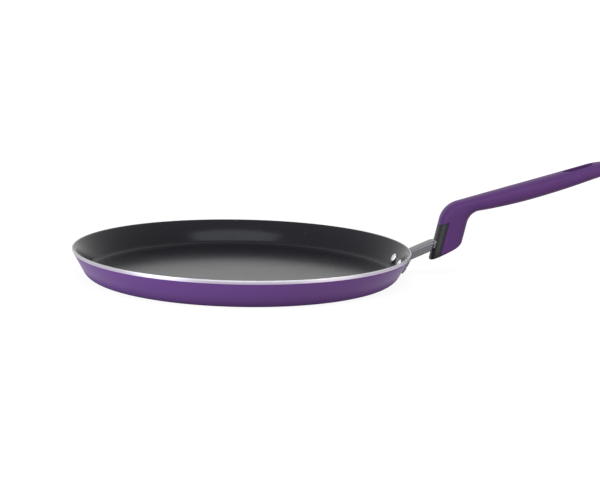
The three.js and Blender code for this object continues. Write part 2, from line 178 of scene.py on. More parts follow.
# Studio lamps
# Four soft boxes: the main, cooler one to the left of the camera, a weaker one to its right, a wide
# one above it, and a fill behind the pan for its other sides, which is kept out of reflections.
lamp_aim = Vector((0.06, 0, 0.02))
cool_light = (0.91, 0.94, 1)
warm_light = (1, 0.97, 0.89)


def soft_box(name, place, colour, width, height, power):
    """A rectangular soft box that faces the pan."""
    light = bpy.data.lights.new(name, "AREA")
    light.shape = "RECTANGLE"
    light.size = width
    light.size_y = height
    light.energy = power
    light.color = colour
    lamp = bpy.data.objects.new(name, light)
    lamp.location = place
    lamp.rotation_euler = (lamp_aim - Vector(place)).to_track_quat("-Z", "Y").to_euler()
    bpy.context.scene.collection.objects.link(lamp)
    return lamp


soft_box("box_left", (-0.96, -0.63, 0.29), cool_light, width=0.65, height=0.65, power=10.5)
soft_box("box_right", (0.93, -0.68, 0.24), warm_light, width=0.7, height=0.42, power=4)
soft_box("box_above", (0.1, -0.9, 1.5), cool_light, width=1.6, height=0.7, power=13)
box_behind = soft_box("box_behind", (0.1, 1.4, 0.6), warm_light, width=1.8, height=0.6, power=10)
box_behind.visible_glossy = False

# Pan body
# One disc of 2.5 mm aluminium sheet, pressed to a shallow flared dish. Its rim and its base are
# left bare: the rim is turned and polished, and the base is faced with shallow rings on a lathe.
rim_radius = 138.1
pan_height = 22.7
wall_flare = math.radians(28.5)
base_corner = 9.3
sheet = 2.5
rim_land_edge = 1.5
rim_nose_fullness = 2.2
rim_nose_turn = math.radians(40)
rim_top_fullness = 1.9
rim_band = 2.75
enamel_coat = 0.25
rim_bevel = math.radians(25)
land_reflection_depth = 0.9
turning_lines_per_metre = 2600
turned_roughness = (0.48, 0.62)
base_ring_pitch = 2.4
base_ring_depth = 0.12
base_ring_first = 16.8
pan_segments = 256
corner_steps = 16
weld = 0.001 * mm


def srgb(red, green, blue):
    """A colour given as it looks on a screen, from 0 to 255, as a shader takes it."""
    shares = [value / 255 for value in (red, green, blue)]
    linear = [v / 12.92 if v <= 0.04045 else ((v + 0.055) / 1.055) ** 2.4 for v in shares]
    return (*linear, 1)


def on_wall(down, out):
    """(radius, height) so far down the wall from the rim's edge, and out from the metal's face."""
    radius = rim_radius - down * math.sin(wall_flare) + out * math.cos(wall_flare)
    return radius, pan_height - down * math.cos(wall_flare) - out * math.sin(wall_flare)


def wall_at(height, out):
    """(radius, height) on a line at that distance out from the metal's outer face."""
    radius = rim_radius - (pan_height - height) * math.tan(wall_flare) + out / math.cos(wall_flare)
    return radius, height


corner_middle = wall_at(base_corner, -base_corner)


def arc(middle, radius, start, end, steps):
    """Points on an arc, by angles in radians from level outwards."""
    turns = [start + (end - start) * i / steps for i in range(steps + 1)]
    return [(middle[0] + radius * math.cos(a), middle[1] + radius * math.sin(a)) for a in turns]


def base_arc(out, start, end, steps=10):
    """The corner between wall and base, by angles in degrees below level."""
    return arc(corner_middle, base_corner + out, -math.radians(start), -math.radians(end), steps)


def rim_slope(coat):
    """The top and the foot of the rim's inner slope, under a coat of that thickness."""
    top = rim_radius - rim_land_edge - coat / math.sin(rim_bevel)
    width = top - wall_at(pan_height, -(sheet + coat))[0]
    drop = width / (1 / math.tan(rim_bevel) - math.tan(wall_flare))
    return [(top, pan_height), wall_at(pan_height - drop, -(sheet + coat))]


def add_sockets(tree, inputs, outputs):
    """Gives a node group its named inputs and outputs, each with its kind of socket."""
    for in_out, sockets in (("INPUT", inputs), ("OUTPUT", outputs)):
        for name, kind in sockets.items():
            tree.interface.new_socket(name, in_out=in_out, socket_type="NodeSocket" + kind)


def turning_tree():
    """Turns a row of profile points, each at (radius, 0, height), about Z into a closed skin."""
    tree = bpy.data.node_groups.new("turned_profile", "GeometryNodeTree")
    inputs = {"Profile": "Geometry", "Segments": "Int", "Material": "Material"}
    add_sockets(tree, inputs, {"Turned": "Geometry"})
    given = add_node(tree, "NodeGroupInput").outputs
    result = add_node(tree, "NodeGroupOutput")
    count = add_node(tree, "GeometryNodeAttributeDomainSize", component="MESH")
    grid = add_node(tree, "GeometryNodeMeshGrid")
    index = add_node(tree, "GeometryNodeInputIndex").outputs[0]
    place = add_node(tree, "GeometryNodeInputPosition")
    sample = add_node(tree, "GeometryNodeSampleIndex", data_type="FLOAT_VECTOR", domain="POINT")
    split = add_node(tree, "ShaderNodeSeparateXYZ")
    spot = add_node(tree, "ShaderNodeCombineXYZ")
    moved = add_node(tree, "GeometryNodeSetPosition")
    closed = add_node(tree, "GeometryNodeMergeByDistance", Distance=weld)
    real = add_node(tree, "GeometryNodeRealizeInstances")
    finish = add_node(tree, "GeometryNodeSetMaterial")
    rows = count.outputs["Point Count"]
    column = computed(tree, "FLOOR", computed(tree, "DIVIDE", index, rows))
    step = computed(tree, "DIVIDE", math.tau, given["Segments"])
    angle = computed(tree, "MULTIPLY", column, step)
    along_x = computed(tree, "MULTIPLY", split.outputs["X"], computed(tree, "COSINE", angle))
    along_y = computed(tree, "MULTIPLY", split.outputs["X"], computed(tree, "SINE", angle))
    link = tree.links.new
    link(given["Profile"], count.inputs[0])
    link(computed(tree, "ADD", given["Segments"], 1), grid.inputs["Vertices X"])
    link(rows, grid.inputs["Vertices Y"])
    link(given["Profile"], sample.inputs["Geometry"])
    link(place.outputs[0], sample.inputs["Value"])
    link(computed(tree, "MODULO", index, rows), sample.inputs["Index"])
    link(sample.outputs["Value"], split.inputs[0])
    link(along_x, spot.inputs["X"])
    link(along_y, spot.inputs["Y"])
    link(split.outputs["Z"], spot.inputs["Z"])
    link(grid.outputs["Mesh"], moved.inputs["Geometry"])
    link(spot.outputs[0], moved.inputs["Position"])
    link(moved.outputs[0], closed.inputs["Geometry"])
    link(closed.outputs[0], real.inputs[0])
    link(real.outputs[0], finish.inputs["Geometry"])
    link(given["Material"], finish.inputs["Material"])
    link(finish.outputs[0], result.inputs["Turned"])
    return tree


turning = turning_tree()


def set_inputs(modifier, **values):
    """Sets a node modifier's inputs, which are found by the names of the tree's sockets."""
    for item in modifier.node_group.interface.items_tree:
        if item.item_type == "SOCKET" and item.in_out == "INPUT" and item.name in values:
            modifier[item.identifier] = values[item.name]


def settle(piece, sharp_angle=40):
    """Turns a piece's modifiers into a plain mesh with outward faces and sharp corners."""
    graph = bpy.context.evaluated_depsgraph_get()
    mesh = bpy.data.meshes.new_from_object(piece.evaluated_get(graph))
    piece.modifiers.clear()
    piece.data = mesh
    mesh.name = piece.name
    shell = bmesh.new()
    shell.from_mesh(mesh)
    bmesh.ops.dissolve_degenerate(shell, dist=weld, edges=shell.edges)
    bmesh.ops.recalc_face_normals(shell, faces=shell.faces)
    shell.to_mesh(mesh)
    shell.free()
    mesh.shade_smooth()
    mesh.set_sharp_from_angle(angle=math.radians(sharp_angle))
    return piece


def profile_points(name, profile):
    """The points of a profile, given as (radius, height) in millimetres, for a tree to turn."""
    mesh = bpy.data.meshes.new(name)
    mesh.from_pydata([(radius * mm, 0, height * mm) for radius, height in profile], [], [])
    piece = bpy.data.objects.new(name, mesh)
    bpy.context.scene.collection.objects.link(piece)
    return piece


def turned(name, profile, segments, material):
    """A finished piece, turned from a profile in the tree above."""
    piece = profile_points(name, profile)
    spin = piece.modifiers.new("spin", "NODES")
    spin.node_group = turning
    set_inputs(spin, Segments=segments, Material=material)
    return settle(piece)


def new_material(name, **values):
    """A material with one Principled shader, and values for the shader's sockets."""
    material = bpy.data.materials.new(name)
    material.use_nodes = True
    shader = material.node_tree.nodes["Principled BSDF"]
    for socket, value in values.items():
        shader.inputs[socket.replace("_", " ")].default_value = value
    return material, material.node_tree, shader


def spread(tree, value, low, high):
    """Maps a shade from 0 to 1 onto a range, such as a roughness."""
    node = add_node(tree, "ShaderNodeMapRange", To_Min=low, To_Max=high)
    tree.links.new(value, node.inputs["Value"])
    return node.outputs["Result"]


def bumped(tree, shader, height, depth):
    """Lets a height texture of that depth in millimetres stand out of the surface."""
    bump = add_node(tree, "ShaderNodeBump", Strength=1, Distance=depth * mm)
    tree.links.new(height, bump.inputs["Height"])
    tree.links.new(bump.outputs["Normal"], shader.inputs["Normal"])


def bare_aluminium_material():
    """Turned metal with fine rings round Z. Its colour holds a painted reflection: brighter on the
    rim's land, lilac-grey on the band below.
    """
    material, tree, shader = new_material(
        "bare_aluminium", Metallic=1, Anisotropic=0.95, Anisotropic_Rotation=0.25
    )
    place = add_node(tree, "ShaderNodeTexCoord")
    flat = add_node(tree, "ShaderNodeVectorMath", operation="MULTIPLY")
    flat.inputs[1].default_value = (1, 1, 0)
    radius = add_node(tree, "ShaderNodeVectorMath", operation="LENGTH")
    lines = add_node(
        tree, "ShaderNodeTexNoise", noise_dimensions="1D", Scale=1, Detail=3, Roughness=0.6
    )
    split = add_node(tree, "ShaderNodeSeparateXYZ")
    # Painted reflection, by height: the rim's land is brightest, standing for the bright room it
    # reflects, and the band below is lilac-grey, standing for the darker surroundings it reflects.
    # The colour is greyer and darker towards the base.
    colour = add_node(tree, "ShaderNodeValToRGB")
    stops = colour.color_ramp.elements
    stops[0].color = srgb(192, 192, 196)
    stops[1].color = srgb(220, 218, 223)
    stops[1].position = 1 - land_reflection_depth / pan_height / 3
    for position in (0.5, 1 - land_reflection_depth / pan_height):
        stops.new(position).color = srgb(210, 203, 218)
    around = add_node(tree, "ShaderNodeTangent", direction_type="RADIAL", axis="Z")
    link = tree.links.new
    link(place.outputs["Object"], flat.inputs[0])
    link(flat.outputs[0], radius.inputs[0])
    scaled = computed(tree, "MULTIPLY", radius.outputs["Value"], turning_lines_per_metre)
    link(scaled, lines.inputs["W"])
    link(place.outputs["Object"], split.inputs[0])
    share = computed(tree, "DIVIDE", split.outputs["Z"], pan_height * mm)
    link(share, colour.inputs["Fac"])
    link(colour.outputs["Color"], shader.inputs["Base Color"])
    link(around.outputs[0], shader.inputs["Tangent"])
    rough = spread(tree, lines.outputs["Fac"], *turned_roughness)
    link(rough, shader.inputs["Roughness"])
    bumped(tree, shader, lines.outputs["Fac"], depth=0.012)
    return material


def base_rings():
    """The underside from its middle outwards, with a shallow ring cut at each pitch."""
    points = [(0, 0)]
    radius = base_ring_first
    while radius + base_ring_pitch < corner_middle[0]:
        points.append((radius, 0))
        points.append((radius + base_ring_pitch / 4, base_ring_depth))
        points.append((radius + base_ring_pitch / 2, 0))
        radius += base_ring_pitch
    return points


def rim_nose():
    """The rounded outer edge of the rim, from the foot of the bare band up to the land."""
    steps = 14
    foot = Vector(wall_at(pan_height - rim_band - enamel_coat, 0))
    land = Vector((rim_radius - rim_land_edge, pan_height))
    low = foot + rim_nose_fullness * Vector((math.sin(rim_nose_turn), math.cos(rim_nose_turn)))
    high = land + Vector((rim_top_fullness, 0))
    points = []
    for i in range(steps):
        t = i / steps
        s = 1 - t
        points.append(foot * s ** 3 + low * 3 * s * s * t + high * 3 * s * t * t + land * t ** 3)
    return [tuple(point) for point in points]


def pan_profile():
    return [
        *base_rings(),
        *base_arc(0, 90, math.degrees(wall_flare), corner_steps),
        *rim_nose(),
        *rim_slope(0),
        *base_arc(-sheet, math.degrees(wall_flare), 90),
        (0, sheet),
    ]


bare_aluminium = bare_aluminium_material()
pan_body = turned("pan_body_turned", pan_profile(), pan_segments, bare_aluminium)
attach(pan_body, "root")
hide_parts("pan_body")

# Non-stick lining
# A charcoal coat sprayed and baked on the inside, up to the bare land of the rim. It is satin, with
# a fine spray grain and small pale flecks.
lining_coat = 0.25
flecks_per_metre = 420
fleck_size = 0.17  # as a share of the space between flecks
coat_lift = 0.02  # keeps the coats' hidden faces off the metal


def surface_grain_group():
    """An even fine grain in all directions: a height for bumps and a shade from 0 to 1."""
    tree = bpy.data.node_groups.new("surface_grain", "ShaderNodeTree")
    inputs = {"Grains per metre": "Float", "Clouds per metre": "Float"}
    add_sockets(tree, inputs, {"Height": "Float", "Shade": "Float"})
    given = add_node(tree, "NodeGroupInput").outputs
    result = add_node(tree, "NodeGroupOutput")
    place = add_node(tree, "ShaderNodeTexCoord")
    fine = add_node(tree, "ShaderNodeTexNoise", Detail=2, Roughness=0.5)
    clouds = add_node(tree, "ShaderNodeTexNoise", Detail=3, Roughness=0.6)
    link = tree.links.new
    link(place.outputs["Object"], fine.inputs["Vector"])
    link(place.outputs["Object"], clouds.inputs["Vector"])
    link(given["Grains per metre"], fine.inputs["Scale"])
    link(given["Clouds per metre"], clouds.inputs["Scale"])
    link(fine.outputs["Fac"], result.inputs["Height"])
    link(clouds.outputs["Fac"], result.inputs["Shade"])
    return tree


surface_grain = surface_grain_group()


def grained(tree, shader, grains, clouds, depth, roughness):
    """Gives a surface a grain of that depth in millimetres, and a roughness that varies with it.

    Returns the grain's shade and the roughness, for a colour or for more wear.
    """
    grain = add_node(tree, "ShaderNodeGroup", node_tree=surface_grain)
    grain.inputs["Grains per metre"].default_value = grains
    grain.inputs["Clouds per metre"].default_value = clouds
    bumped(tree, shader, grain.outputs["Height"], depth)
    rough = spread(tree, grain.outputs["Shade"], *roughness)
    tree.links.new(rough, shader.inputs["Roughness"])
    return grain.outputs["Shade"], rough


def nonstick_material():
    material, tree, shader = new_material("charcoal_nonstick", IOR=1.22)
    grained(tree, shader, grains=1400, clouds=30, depth=0.008, roughness=(0.15, 0.2))
    place = add_node(tree, "ShaderNodeTexCoord")
    flecks = add_node(tree, "ShaderNodeTexVoronoi", feature="F1", Scale=flecks_per_metre)
    colour = add_node(tree, "ShaderNodeMix", data_type="RGBA")
    colour.inputs["A"].default_value = srgb(27, 27, 32)
    colour.inputs["B"].default_value = srgb(44, 43, 49)
    tree.links.new(place.outputs["Object"], flecks.inputs["Vector"])
    in_fleck = computed(tree, "LESS_THAN", flecks.outputs["Distance"], fleck_size)
    tree.links.new(in_fleck, colour.inputs["Factor"])
    tree.links.new(colour.outputs["Result"], shader.inputs["Base Color"])
    return material


def lining_profile():
    hidden = -(sheet + coat_lift)
    face = -(sheet + lining_coat)
    steep = math.degrees(wall_flare)
    return [
        (0, -hidden),
        *base_arc(hidden, 90, steep, corner_steps),
        *reversed(rim_slope(coat_lift)),
        *rim_slope(lining_coat),
        *base_arc(face, steep, 90, corner_steps),
        (0, -face),
    ]


lining = turned("nonstick_lining_coat", lining_profile(), pan_segments, nonstick_material())
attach(lining, "root")
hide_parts("nonstick_lining")

# Exterior enamel
# A gloss purple coat, sprayed on the outside of the wall after the rim was masked. It ends in a
# soft edge below the bare rim, and on the corner of the base. Low on the wall it is duller with
# wear and darker with painted shade.
enamel_stop = 72  # degrees below level, on the base corner
enamel_edge = 0.15
wear_and_shade_height = 11
scuff_roughness = 0.45


def enamel_material():
    material, tree, shader = new_material("purple_enamel", IOR=1.3)
    shade, gloss = grained(
        tree, shader, grains=700, clouds=22, depth=0.012, roughness=(0.34, 0.42)
    )
    colour = add_node(tree, "ShaderNodeMix", data_type="RGBA")
    colour.inputs["A"].default_value = srgb(94, 58, 122)
    colour.inputs["B"].default_value = srgb(100, 63, 128)
    # Painted shade: the colour darkens towards the base, standing for the shadow near the floor.
    # The same mask also makes the coat rougher there, as wear.
    painted_shade = add_node(tree, "ShaderNodeMix", data_type="RGBA")
    painted_shade.inputs["B"].default_value = srgb(86, 53, 112)
    place = add_node(tree, "ShaderNodeTexCoord")
    split = add_node(tree, "ShaderNodeSeparateXYZ")
    wear_and_shade = add_node(tree, "ShaderNodeMapRange", From_Min=wear_and_shade_height * mm, From_Max=0)
    wear_and_shade.interpolation_type = "SMOOTHSTEP"
    link = tree.links.new
    link(place.outputs["Object"], split.inputs[0])
    link(split.outputs["Z"], wear_and_shade.inputs["Value"])
    link(shade, colour.inputs["Factor"])
    link(wear_and_shade.outputs["Result"], painted_shade.inputs["Factor"])
    link(colour.outputs["Result"], painted_shade.inputs["A"])
    link(painted_shade.outputs["Result"], shader.inputs["Base Color"])
    rough = computed(tree, "MULTIPLY_ADD", wear_and_shade.outputs["Result"], scuff_roughness, gloss)
    link(rough, shader.inputs["Roughness"])
    return material


def enamel_profile():
    steep = math.degrees(wall_flare)
    top = pan_height - rim_band
    profile = [
        *base_arc(enamel_coat, enamel_stop, steep, corner_steps),
        wall_at(top - enamel_edge, enamel_coat),
        wall_at(top - enamel_edge / 4, enamel_coat * 3 / 4),
        wall_at(top, coat_lift),
        *base_arc(coat_lift, steep, enamel_stop, corner_steps),
    ]
    return [*profile, profile[0]]


enamel = turned("exterior_enamel_coat", enamel_profile(), pan_segments, enamel_material())
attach(enamel, "root")
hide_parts("exterior_enamel")

# Handle bracket
# Pressed from 2 mm steel: a plate that is curved to the wall and riveted on, and a channel, open
# below, that reaches up into the handle. It is tumbled, so its edges are soft.
seat_gap = 0.3
fit_clearance = 0.3
plate_width = 47
plate_height = 15.9
plate_below_rim = 3.55
plate_corner = 5
bracket_sheet = 2
bracket_bend = 1.8
bracket_grain = 0.4
bracket_smoothing = 8
brush_roughness = (0.26, 0.44)
brush_marks_per_metre = 160
brush_stretch = 14
arm_rise = math.radians(24)
arm_above_toe = 10.8
arm_width = 15
arm_height = 6.8
tongue_width = 12.6
tongue_height = 5.6
tongue_reach = 28
toe_from_rim = 17
toe_below_rim = 9.5
foot_lean = math.radians(12.2)
guard_thickness = 6
screw_from_toe = 20.5
screw_shank = 5
plate_back = enamel_coat + seat_gap
plate_front = plate_back + bracket_sheet
arm_bottom = arm_above_toe - arm_height / 2
arm_top = arm_above_toe + arm_height / 2
tongue_bottom = arm_above_toe - tongue_height / 2
tongue_top = arm_above_toe + tongue_height / 2
web_under = tongue_top - bracket_sheet


def frame_at_toe(rise):
    """A frame at the handle's toe: along a line that climbs from the pan, square to it, across."""
    along = Vector((math.cos(rise), 0, math.sin(rise)))
    square = Vector((-math.sin(rise), 0, math.cos(rise)))
    toe = Vector((rim_radius + toe_from_rim, 0, pan_height - toe_below_rim))
    turn = Matrix((along, square, Vector((0, -1, 0)))).transposed().to_4x4()
    return Matrix.Translation(toe) @ turn


arm_frame = frame_at_toe(arm_rise)


def solid(name, rings, frame_matrix=None):
    """A closed skin over rings of points in millimetres, with a flat face at each end."""
    shell = bmesh.new()
    place = frame_matrix or Matrix()
    rows = [[shell.verts.new(mm * (place @ Vector(spot))) for spot in ring] for ring in rings]
    count = len(rows[0])
    for low, high in zip(rows, rows[1:]):
        for i in range(count):
            j = (i + 1) % count
            shell.faces.new((low[i], low[j], high[j], high[i]))
    shell.faces.new(reversed(rows[0]))
    shell.faces.new(rows[-1])
    bmesh.ops.recalc_face_normals(shell, faces=shell.faces)
    mesh = bpy.data.meshes.new(name)
    shell.to_mesh(mesh)
    shell.free()
    piece = bpy.data.objects.new(name, mesh)
    bpy.context.scene.collection.objects.link(piece)
    return piece


def arm_plate(name, outline, width):
    """A flat solid of a side outline in the channel's frame, as wide as given."""
    rings = [[(s, h, side * width / 2) for s, h in outline] for side in (-1, 1)]
    return solid(name, rings, arm_frame)


def pin(name, diameter, low, high):
    """A round pin on the screw's axis, between two heights square to the channel."""
    sides = 48
    radius = diameter / 2
    turns = [math.tau * i / sides for i in range(sides)]
    ring = [(screw_from_toe + radius * math.cos(a), radius * math.sin(a)) for a in turns]
    return solid(name, [[(s, h, c) for s, c in ring] for h in (low, high)], arm_frame)


def combine(piece, other, operation="DIFFERENCE", sharp_angle=40):
    """Cuts or joins another solid, which is used up."""
    modifier = piece.modifiers.new("combine", "BOOLEAN")
    modifier.operation = operation
    modifier.solver = "EXACT"
    modifier.object = other
    settle(piece, sharp_angle)
    bpy.data.objects.remove(other)
    return piece


def soften(piece, grain, passes, grain_frame):
    """Makes one even skin of a piece, its grain laid along a frame, and rounds its edges."""
    turn = grain_frame.to_3x3().to_4x4()
    piece.data.transform(turn.inverted())
    skin = piece.modifiers.new("skin", "REMESH")
    skin.mode = "VOXEL"
    skin.voxel_size = grain * mm
    smooth = piece.modifiers.new("smooth", "SMOOTH")
    smooth.factor = 0.5
    smooth.iterations = passes
    settle(piece, sharp_angle=180)
    piece.data.transform(turn)
    return piece


def rounded_outline(width, height, corner, steps=8):
    """A rectangle with round corners, as (across, up) points round its middle."""
    corners = [(1, 1, 0), (-1, 1, 1), (-1, -1, 2), (1, -1, 3)]
    points = []
    for x, y, quarter in corners:
        middle = (x * (width / 2 - corner), y * (height / 2 - corner))
        points += arc(middle, corner, quarter * math.pi / 2, (quarter + 1) * math.pi / 2, steps)
    return points


def on_plate(across, upward, out):
    """A point on the plate, from its middle, laid round the wall."""
    radius, height = on_wall(plate_below_rim + plate_height / 2 - upward, out)
    azimuth = math.asin(across / radius)
    return radius * math.cos(azimuth), radius * math.sin(azimuth), height


def bracket_plate():
    shares = [0.02, 0.2, 0.4, 0.6, 0.8, 1]
    outline = rounded_outline(plate_width, plate_height, plate_corner)
    back = [[on_plate(x * t, y * t, plate_back) for x, y in outline] for t in shares]
    front = [[on_plate(x * t, y * t, plate_front) for x, y in outline] for t in reversed(shares)]
    return solid("bracket_plate", back + front)


def channel_section(width, low, high):
    """A channel that is open below: (up, across) points round its sheet."""
    half = width / 2
    inner = half - bracket_sheet
    bend = bracket_bend
    left = arc((-half + bend, high - bend), bend, math.pi, math.pi / 2, steps=5)
    right = arc((half - bend, high - bend), bend, math.pi / 2, 0, steps=5)
    outer = [(-half, low), *left, *right, (half, low)]
    under = [(inner, low), (inner, web_under), (-inner, web_under), (-inner, low)]
    return [(h, c) for c, h in [*outer, *under]]


def root_of_arm(height, across):
    """Where a line along the channel meets the middle of the plate's thickness."""
    low, high = -2 * toe_from_rim - plate_height, toe_from_rim
    halvings = 40
    for _ in range(halvings):
        along = (low + high) / 2
        spot = arm_frame @ Vector((along, height, across))
        wall = wall_at(spot.z, (plate_back + plate_front) / 2)[0]
        inside = math.hypot(spot.x, spot.y) < wall
        low, high = (along, high) if inside else (low, along)
    return low


def foot_front(height, behind=0):
    """The foot's front face, along the channel, at a height square to it and so far behind."""
    lean = foot_lean + arm_rise
    return height * math.tan(lean) + behind / math.cos(lean)


def bracket_channel():
    arm = channel_section(arm_width, arm_bottom, arm_top)
    tongue = channel_section(tongue_width, tongue_bottom, tongue_top)
    rings = [
        [(root_of_arm(h, c), h, c) for h, c in arm],
        [(foot_front(h, -seat_gap - bracket_sheet), h, c) for h, c in arm],
        [(foot_front(h, -seat_gap), h, c) for h, c in tongue],
        [(tongue_reach, h, c) for h, c in tongue],
    ]
    return solid("bracket_channel", rings, arm_frame)


def steel_material():
    grey = srgb(108, 108, 112)
    material, tree, shader = new_material("pressed_steel", Base_Color=grey, Metallic=1)
    place = add_node(tree, "ShaderNodeTexCoord")
    stretch = add_node(tree, "ShaderNodeMapping")
    stretch.inputs["Scale"].default_value = (1, brush_stretch, brush_stretch)
    stretch.inputs["Rotation"].default_value = (0, arm_rise, 0)
    brush = add_node(
        tree, "ShaderNodeTexNoise", Scale=brush_marks_per_metre, Detail=4, Roughness=0.65
    )
    tree.links.new(place.outputs["Object"], stretch.inputs["Vector"])
    tree.links.new(stretch.outputs[0], brush.inputs["Vector"])
    rough = spread(tree, brush.outputs["Fac"], *brush_roughness)
    tree.links.new(rough, shader.inputs["Roughness"])
    bumped(tree, shader, brush.outputs["Fac"], depth=0.01)
    return material


bracket_hole = pin("bracket_screw_hole", screw_shank + 2 * fit_clearance, 0, 2 * tongue_top)
bracket = combine(bracket_channel(), bracket_hole)
bracket = combine(bracket, bracket_plate(), "UNION")
bracket.name = "handle_bracket_pressed"
soften(bracket, bracket_grain, bracket_smoothing, arm_frame)
bracket.data.materials.append(steel_material())
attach(bracket, "root")
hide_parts("handle_bracket")

# Rivets
# Two solid aluminium rivets go through lining, sheet, enamel and plate. Their domed heads show
# inside the pan, and their flatter closed tails on the plate.
rivet_from_end = 10.5
rivet_from_top = 11.25
rivet_shank = 5
rivet_head_width = 8.4
rivet_head_height = 2.1
rivet_tail_width = 7.6
rivet_tail_height = 1.3
rivet_edge = 0.5
rivet_fullness = 0.8
rivet_segments = 48


def dome(width, height, edge):
    """A flat-topped dome, from its crown out to the foot of its straight edge."""
    steps = 10
    half = width / 2
    turns = [math.pi / 2 * i / steps for i in range(steps + 1)]
    rises = [(height - edge) * math.cos(a) ** rivet_fullness for a in turns]
    crown = [(half * math.sin(a), edge + rise) for a, rise in zip(turns, rises)]
    return [*crown, (half, 0)]


def rivet_profile():
    head_seat = -(sheet + lining_coat + seat_gap)
    tail_seat = plate_front + seat_gap
    head = [(r, head_seat - h) for r, h in dome(rivet_head_width, rivet_head_height, rivet_edge)]
    tail = [(r, tail_seat + h) for r, h in dome(rivet_tail_width, rivet_tail_height, rivet_edge)]
    shank = rivet_shank / 2
    return [*head, (shank, head_seat), (shank, tail_seat), *reversed(tail)]


def riveting_tree():
    """Turns one rivet and sets a copy on each side of the handle, square to the wall."""
    tree = bpy.data.node_groups.new("rivets_on_wall", "GeometryNodeTree")
    inputs = {"Profile": "Geometry", "Segments": "Int", "Material": "Material"}
    inputs |= {name: "Float" for name in ("Radius", "Height", "Half angle", "Tilt")}
    add_sockets(tree, inputs, {"Rivets": "Geometry"})
    given = add_node(tree, "NodeGroupInput").outputs
    result = add_node(tree, "NodeGroupOutput")
    rivet = add_node(tree, "GeometryNodeGroup", node_tree=turning)
    index = add_node(tree, "GeometryNodeInputIndex").outputs[0]
    spot = add_node(tree, "ShaderNodeCombineXYZ")
    turn = add_node(tree, "ShaderNodeCombineXYZ")
    rotation = add_node(tree, "FunctionNodeEulerToRotation")
    points = add_node(tree, "GeometryNodePoints", Count=2)
    copies = add_node(tree, "GeometryNodeInstanceOnPoints")
    real = add_node(tree, "GeometryNodeRealizeInstances")
    finish = add_node(tree, "GeometryNodeSetMaterial")
    side = computed(tree, "MULTIPLY_ADD", index, 2, -1)
    azimuth = computed(tree, "MULTIPLY", side, given["Half angle"])
    along_x = computed(tree, "MULTIPLY", computed(tree, "COSINE", azimuth), given["Radius"])
    along_y = computed(tree, "MULTIPLY", computed(tree, "SINE", azimuth), given["Radius"])
    link = tree.links.new
    link(given["Profile"], rivet.inputs["Profile"])
    link(given["Segments"], rivet.inputs["Segments"])
    link(along_x, spot.inputs["X"])
    link(along_y, spot.inputs["Y"])
    link(given["Height"], spot.inputs["Z"])
    link(given["Tilt"], turn.inputs["Y"])
    link(azimuth, turn.inputs["Z"])
    link(turn.outputs[0], rotation.inputs[0])
    link(spot.outputs[0], points.inputs["Position"])
    link(points.outputs[0], copies.inputs["Points"])
    link(rivet.outputs["Turned"], copies.inputs["Instance"])
    link(rotation.outputs[0], copies.inputs["Rotation"])
    link(copies.outputs[0], real.inputs[0])
    link(real.outputs[0], finish.inputs["Geometry"])
    link(given["Material"], finish.inputs["Material"])
    link(finish.outputs[0], result.inputs["Rivets"])
    return tree


def rivet_material():
    pale = srgb(214, 213, 218)
    material, tree, shader = new_material("rivet_aluminium", Base_Color=pale, Metallic=1)
    grained(tree, shader, grains=2400, clouds=260, depth=0.01, roughness=(0.2, 0.34))
    return material


rivets = profile_points("rivets_closed", rivet_profile())
rivet_radius, rivet_height = on_wall(plate_below_rim + rivet_from_top, 0)
set_rivets = rivets.modifiers.new("set_rivets", "NODES")
set_rivets.node_group = riveting_tree()
rivet_values = {
    "Segments": rivet_segments,
    "Material": rivet_material(),
    "Radius": rivet_radius * mm,
    "Height": rivet_height * mm,
    "Half angle": math.asin((plate_width / 2 - rivet_from_end) / rivet_radius),
    "Tilt": math.pi / 2 + wall_flare,
}
set_inputs(set_rivets, **rivet_values)
settle(rivets)
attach(rivets, "root")
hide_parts("rivet_near", "rivet_far")

# Handle moulding
# One moulded form: a foot beside the pan's wall, a bend, and a long grip that swells in the middle.
# The black guard at its front and the purple grip are both cut from this form, so they run flush.
handle_rise = math.radians(16.25)
sole_rise = math.radians(27)
foot_depth = 22.4
foot_width = 22
toe_round = 0.7
heel_round = 3.5
sole_edge_round = 2
grip_top = 41.25
bend_outer = 20
bend_inner = 12.8
neck_thickness = 12.3
neck_width = 21
belly_thickness = 14.75
belly_from_toe = 94
belly_width = 25
tail_thickness = 12.3
tail_width = 27
grip_length = 168.4
nose_length = 20
foot_fullness = 2.8
grip_fullness = 2.4
section_points = 72

grip_frame = frame_at_toe(handle_rise)
lean_from_grip = foot_lean + handle_rise
sole_climb = sole_rise - handle_rise
neck_under = grip_top - neck_thickness


def drawn_in(height, radius):
    """How far a rounded edge draws in at a height above the sole."""
    left = max(0, 1 - height / radius)
    return radius * (1 - math.sqrt(1 - left * left))


def on_foot(height, along):
    """A point so far up the foot's slope and so far along the sole, in the grip's frame."""
    rise_part = Vector((math.sin(lean_from_grip), math.cos(lean_from_grip))) * height
    return rise_part + Vector((math.cos(sole_climb), math.sin(sole_climb))) * along


def bend_point(start, level, radius, turn):
    """A bend's arc, from the foot's face at turn 0 to the level line at turn 1."""
    middle_height = level - radius
    middle = start + middle_height * math.tan(lean_from_grip) + radius / math.cos(lean_from_grip)
    angle = math.pi - lean_from_grip - turn * (math.pi / 2 - lean_from_grip)
    return Vector((middle + radius * math.cos(angle), middle_height + radius * math.sin(angle)))


def swell(along, start, neck, belly, tail):
    """A size that grows from the neck to the belly, and draws in again to the tail."""
    ahead_of_belly = along < belly_from_toe
    edge, value = (start, neck) if ahead_of_belly else (grip_length - nose_length, tail)
    share = (along - belly_from_toe) / (edge - belly_from_toe)
    return belly + (value - belly) * share * share


def mix(first, last, share):
    """The value at that share of the way from the first to the last."""
    return first + (last - first) * share


